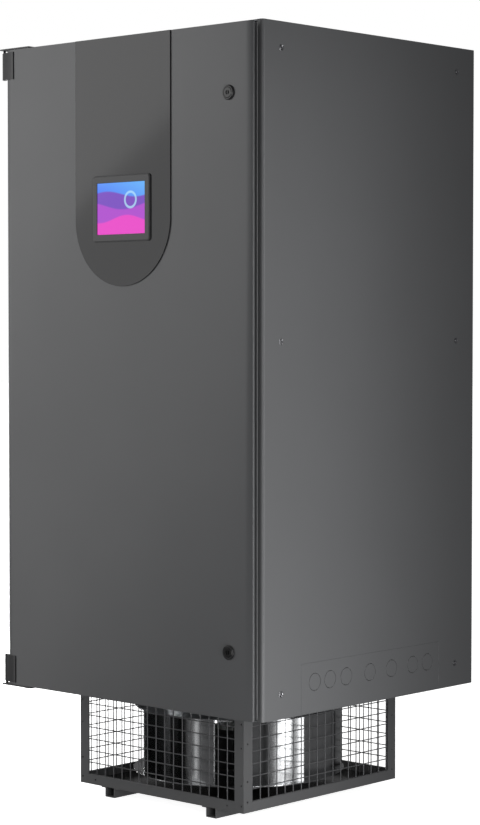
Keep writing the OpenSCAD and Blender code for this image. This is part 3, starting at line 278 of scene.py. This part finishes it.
# %% Group: drawn lines
def build_drawn_lines():
    tree, given, out = new_group("drawn lines", {"X": 1.0, "Y": 1.0, "Z": 1.0}, ["Lines"])
    place = put(tree, "ShaderNodeTexCoord").outputs["Object"]
    stretch = put(tree, "ShaderNodeCombineXYZ", {0: given["X"], 1: given["Y"], 2: given["Z"]}).outputs[0]
    squeezed = put(tree, "ShaderNodeVectorMath", {0: place, 1: stretch}, operation="MULTIPLY").outputs[0]
    noise = put(tree, "ShaderNodeTexNoise", {"Vector": squeezed, "Scale": 1.0, "Detail": 4.0, "Roughness": 0.7})
    tree.links.new(noise.outputs[0], out.inputs["Lines"])


build_drawn_lines()

# %% [markdown]
# ### Zinc flowers
# Hot dipped zinc freezes in flat crystals, each with its own shade. A Voronoi texture's cell colour gives every
# crystal a value of its own.

# %% Group: zinc flowers
def build_zinc_flowers():
    tree, given, out = new_group("zinc flowers", {"Size": 14.0}, ["Shade"])
    place = put(tree, "ShaderNodeTexCoord").outputs["Object"]
    scale = math_node(tree, "DIVIDE", 1000.0, given["Size"])
    cells = put(tree, "ShaderNodeTexVoronoi", {"Vector": place, "Scale": scale, "Randomness": 1.0})
    shade = put(tree, "ShaderNodeSeparateColor", {0: cells.outputs["Color"]}).outputs[0]
    tree.links.new(shade, out.inputs["Shade"])


build_zinc_flowers()
print(len(bpy.data.node_groups), "shared effects")

# %% [markdown]
# ## The finishes
# Every finish is a short function that puts the shared effects round one Principled shader. A number that is the
# same all over the surface sits on the shader's own socket, and only what varies is linked.

# %% Common parts of a finish
def tinted(tree, colour, tone):
    """A colour made lighter or darker by a tone round 1."""
    grey = put(tree, "ShaderNodeCombineColor", {0: tone, 1: tone, 2: tone}).outputs[0]
    return put(tree, "ShaderNodeMix", {0: 1.0, 6: (*colour, 1), 7: grey}, data_type="RGBA",
        blend_type="MULTIPLY").outputs[2]


dust_colour = (0.42, 0.40, 0.37, 1)


def dusted(tree, colour, mask):
    """A colour under a film of pale dust."""
    return put(tree, "ShaderNodeMix", {0: mask, 6: colour, 7: dust_colour}, data_type="RGBA").outputs[2]


def bump(tree, height, distance):
    """Normals for a height that spans a distance in metres."""
    return put(tree, "ShaderNodeBump", {"Height": height, "Distance": distance, "Strength": 1.0}).outputs[0]


def coated(name, colour, roughness, grain=1.2, peel=0.03, depth=0.05, dust=0.25, **constants):
    """Paint, plastic or rubber: an even colour with a fine skin, slow patches and a little dust."""
    material, tree, out = material_tree(name)
    patches = use_group(tree, "slow patches", Size=0.25, Depth=depth)
    film = use_group(tree, "dust film", Amount=dust)["Mask"]
    skin = use_group(tree, "fine skin", Grain_size=grain)["Height"]
    rough = math_node(tree, "MULTIPLY", patches["Gloss"], roughness)
    rough = math_node(tree, "MULTIPLY_ADD", film, 0.5, rough)
    shader = put(tree, "ShaderNodeBsdfPrincipled", {
        "Base Color": dusted(tree, tinted(tree, colour, patches["Tone"]), film),
        "Roughness": rough, "Metallic": 0.0, "Normal": bump(tree, skin, peel * mm)})
    for socket, value in constants.items():
        shader.inputs[socket.replace("_", " ")].default_value = value
    tree.links.new(shader.outputs[0], out.inputs["Surface"])
    return material


def bare_metal(name, colour, roughness, stretch, line_depth=0.3, flowers=0.0, dust=0.15):
    """Bare metal: drawn lines in gloss and height, and crystals where it is galvanised."""
    material, tree, out = material_tree(name)
    x, y, z = stretch
    lines = use_group(tree, "drawn lines", X=x, Y=y, Z=z)["Lines"]
    shade = use_group(tree, "zinc flowers")["Shade"]
    patches = use_group(tree, "slow patches", Size=0.12, Depth=0.12)
    film = use_group(tree, "dust film", Amount=dust)["Mask"]
    crystals = math_node(tree, "MULTIPLY_ADD", shade, flowers, 1 - flowers / 2)
    tone = math_node(tree, "MULTIPLY", patches["Tone"], crystals)
    rough = math_node(tree, "MULTIPLY_ADD", lines, line_depth, roughness - line_depth / 2)
    rough = math_node(tree, "MULTIPLY_ADD", shade, flowers * 0.5, rough)
    shader = put(tree, "ShaderNodeBsdfPrincipled", {"Base Color": dusted(tree, tinted(tree, colour, tone), film),
        "Metallic": 1.0, "Roughness": rough, "Normal": bump(tree, lines, 0.01 * mm)})
    tree.links.new(shader.outputs[0], out.inputs["Surface"])
    return material


# %% [markdown]
# ### The screen
# The display shows a calm picture of its own: hills in blue, violet and magenta under a ring. It is drawn with
# waves and distances, so no image is needed, and it glows like a lit screen behind smooth glass.

# %% The screen's picture
def lit_screen(name):
    material, tree, out = material_tree(name)
    low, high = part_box("display_screen")
    place = put(tree, "ShaderNodeTexCoord").outputs["Object"]
    axes = put(tree, "ShaderNodeSeparateXYZ", {0: place}).outputs
    across = put(tree, "ShaderNodeMapRange", {"Value": axes["X"], "From Min": low.x, "From Max": high.x}).outputs[0]
    up = put(tree, "ShaderNodeMapRange", {"Value": axes["Z"], "From Min": low.z, "From Max": high.z}).outputs[0]
    picture = ramp(tree, math_node(tree, "MULTIPLY_ADD", up, 0.65, math_node(tree, "MULTIPLY", across, 0.35)),
        [(0.0, (0.01, 0.05, 0.75)), (0.5, (0.03, 0.16, 0.95)), (1.0, (0.10, 0.45, 1.0))])
    hills = [(0.78, 0.06, 5.0, 0.6, (0.16, 0.03, 0.52)), (0.56, 0.08, 4.2, 2.4, (0.42, 0.03, 0.62)),
        (0.30, 0.07, 5.6, 4.4, (0.84, 0.02, 0.58))]
    for level, swing, waves, phase, colour in hills:
        turn = math_node(tree, "MULTIPLY_ADD", across, waves, phase)
        crest = math_node(tree, "MULTIPLY_ADD", math_node(tree, "SINE", turn), swing, level)
        inside = put(tree, "ShaderNodeMapRange", {"Value": math_node(tree, "SUBTRACT", crest, up),
            "From Min": -0.01, "From Max": 0.02}).outputs[0]
        picture = put(tree, "ShaderNodeMix", {0: inside, 6: picture, 7: (*colour, 1)}, data_type="RGBA").outputs[2]
    ring_across, ring_up, ring_radius, screen_ratio = 0.70, 0.66, 0.15, 1.3
    off_x = math_node(tree, "MULTIPLY", math_node(tree, "SUBTRACT", across, ring_across), screen_ratio)
    off_z = math_node(tree, "SUBTRACT", up, ring_up)
    from_ring = math_node(tree, "SQRT", math_node(tree, "ADD", math_node(tree, "POWER", off_x, 2.0),
        math_node(tree, "POWER", off_z, 2.0)))
    off_ring = math_node(tree, "ABSOLUTE", math_node(tree, "SUBTRACT", from_ring, ring_radius))
    ring = put(tree, "ShaderNodeMapRange", {"Value": off_ring, "From Min": 0.03, "From Max": 0.015}).outputs[0]
    picture = put(tree, "ShaderNodeMix", {0: math_node(tree, "MULTIPLY", ring, 0.7), 6: picture,
        7: (0.45, 0.80, 1.0, 1)}, data_type="RGBA").outputs[2]
    grey = put(tree, "ShaderNodeTexNoise", {"Scale": 900.0}).outputs[0]
    shader = put(tree, "ShaderNodeBsdfPrincipled", {"Base Color": (0.01, 0.01, 0.012, 1),
        "Roughness": math_node(tree, "MULTIPLY_ADD", grey, 0.05, 0.06), "Emission Color": picture,
        "Emission Strength": 0.9})
    tree.links.new(shader.outputs[0], out.inputs["Surface"])
    return material


# %% [markdown]
# ### The list of finishes
# The record gives each piece a finish by name. This list says how each name is made, with the strength of the
# effects that its real material has. The lock's plate is the exception: it keeps a metal's gloss, but its colour is
# made nearly black as painted shade of the lock's recess.

# %% Make the finishes
finishes = {
    "door_paint": coated("door paint", (0.090, 0.092, 0.095), 0.32, Specular_IOR_Level=0.55),
    "panel_paint": coated("panel paint", (0.105, 0.107, 0.110), 0.45),
    "cage_paint": coated("cage paint", (0.095, 0.096, 0.098), 0.42),
    "floor_paint": coated("cage floor paint", (0.012, 0.012, 0.013), 0.16, peel=0.01, dust=0.1),
    "fascia": coated("display panel", (0.022, 0.022, 0.023), 0.10, peel=0.0, depth=0.02, Specular_IOR_Level=0.42),
    "bezel": coated("bezel plastic", (0.045, 0.045, 0.047), 0.38, grain=0.6),
    "screen": lit_screen("lit screen"),
    "inner_metal": coated("inner paint", (0.045, 0.046, 0.048), 0.5),
    "galvanised": bare_metal("galvanised steel", (0.60, 0.62, 0.64), 0.42, (6, 6, 60), 0.12, flowers=0.22),
    "hinge_black": coated("hinge paint", (0.012, 0.012, 0.013), 0.33),
    # the lock plate keeps a real metal gloss, but its colour is made nearly black: painted shade of the lock's recess
    "lock_metal": bare_metal("lock plate darkened as painted shade", (0.055, 0.055, 0.055), 0.20, (300, 300, 300), 0.1),
    "lock_black": coated("lock housing", (0.012, 0.012, 0.013), 0.28, peel=0.01),
    "screw": bare_metal("plated screws", (0.24, 0.24, 0.25), 0.32, (200, 200, 200), 0.1),
    "seal": coated("seal rubber", (0.012, 0.012, 0.012), 0.8, grain=0.8, peel=0.08),
    "filter": coated("filter cloth", (0.62, 0.63, 0.60), 0.95, grain=0.9, peel=0.3, depth=0.1),
    "fins": bare_metal("fin aluminium", (0.75, 0.77, 0.79), 0.35, (900, 8, 8), 0.2),
    "impeller_metal": bare_metal("impeller aluminium", (0.34, 0.345, 0.35), 0.20, (4, 4, 120), 0.08, dust=0.02),
    "motor": coated("motor paint", (0.014, 0.014, 0.015), 0.45, grain=2.0, peel=0.1),
    "wire": coated("coated wire", (0.085, 0.086, 0.09), 0.45),
    "copper": bare_metal("copper pipe", (0.72, 0.36, 0.22), 0.28, (20, 20, 20), 0.2, dust=0.1),
    "vessel_black": coated("vessel paint", (0.013, 0.013, 0.014), 0.35, peel=0.05),
    "drier_green": coated("drier paint", (0.03, 0.12, 0.07), 0.35),
    "brass": bare_metal("brass", (0.70, 0.50, 0.22), 0.3, (60, 60, 60), 0.15),
    "rubber": coated("rubber", (0.015, 0.015, 0.015), 0.75, grain=1.0, peel=0.08),
    "switchgear": coated("switchgear plastic", (0.60, 0.60, 0.58), 0.45, grain=0.7),
    "contactor_plastic": coated("dark switchgear", (0.09, 0.09, 0.10), 0.45, grain=0.7),
    "terminal_plastic": coated("terminal plastic", (0.42, 0.44, 0.38), 0.5, grain=0.7),
    "duct_plastic": coated("duct plastic", (0.42, 0.44, 0.46), 0.5, grain=0.9),
    "controller_plastic": coated("controller case", (0.025, 0.028, 0.03), 0.4, grain=0.7),
    "knob": coated("knob plastic", (0.45, 0.015, 0.012), 0.3, grain=0.7),
}


def finish(piece, slot):
    """Gives a piece the finish made for one of the record's slots."""
    piece.data.materials.clear()
    piece.data.materials.append(finishes[slot])


for node, piece in nodes.items():
    for holder in piece.material_slots:
        holder.link = "OBJECT"
        holder.material = finishes[slot_of[node]]
print(len(finishes), "finishes")

# %% [markdown]
# ## Soft edges
# CAD edges are perfectly sharp, and a perfectly sharp edge never catches light. Bent sheet, castings and mouldings
# all have a small radius. The Bevel modifier could make it, but the CAD meshes are cut in triangles with split
# corners. So each piece is rebuilt: its corners are welded, flat neighbours are joined into one face, and every
# edge sharper than thirty degrees is rounded. Weighted normals then keep the flats flat.

# %% Round the edges of sheet and castings
weld_distance = 2e-6
flat_angle = math.radians(1)
sharp_angle = math.radians(30)


def softened(node, radius_mm, segments=2):
    """A copy of a CAD piece with its sharp edges rounded, which takes the CAD piece's place."""
    source = nodes[node].data
    mesh = bpy.data.meshes.new(node + "_soft")
    mesh.from_pydata([v.co for v in source.vertices], [], [p.vertices for p in source.polygons])
    shape = bmesh.new()
    shape.from_mesh(mesh)
    bmesh.ops.remove_doubles(shape, verts=shape.verts, dist=weld_distance)
    bmesh.ops.dissolve_limit(shape, angle_limit=flat_angle, verts=shape.verts, edges=shape.edges)
    sharp = [e for e in shape.edges if len(e.link_faces) == 2 and e.calc_face_angle() > sharp_angle]
    bmesh.ops.bevel(shape, geom=sharp, offset=radius_mm * mm, offset_type="OFFSET", segments=segments, profile=0.5,
        affect="EDGES", clamp_overlap=True)
    for face in shape.faces:
        face.smooth = True
    shape.to_mesh(mesh)
    shape.free()
    piece = bpy.data.objects.new(node + "_soft", mesh)
    scene.collection.objects.link(piece)
    piece.modifiers.new("flat faces", "WEIGHTED_NORMAL").keep_sharp = True
    finish(piece, slot_of[node])
    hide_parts(node)
    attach(piece, body_of[node])


edge_radius = {
    "door_skin": 1.0, "door_liner": 0.7, "side_panel_left": 0.5, "side_panel_right": 0.5, "rear_panels": 0.6,
    "top_grille_cover": 0.5, "display_fascia": 0.7, "display_bezel": 0.9, "cage_posts": 0.5, "cage_bars": 0.5,
    "cage_floor": 0.6, "foot_rails": 0.7, "hinge_brackets": 0.6, "hinge_knuckles": 0.5, "lock_housings": 0.5,
    "upper_lock_insert": 0.3, "lower_lock_insert": 0.3, "impeller": 0.4, "frame_posts": 1.5, "base_rails": 1.5,
    "top_rails": 1.5, "side_rails": 1.5, "door_frame": 0.7, "isolator_knob": 1.0, "display_box": 0.7,
}
for node, radius in edge_radius.items():
    softened(node, radius)
print(len(edge_radius), "pieces with rounded edges")
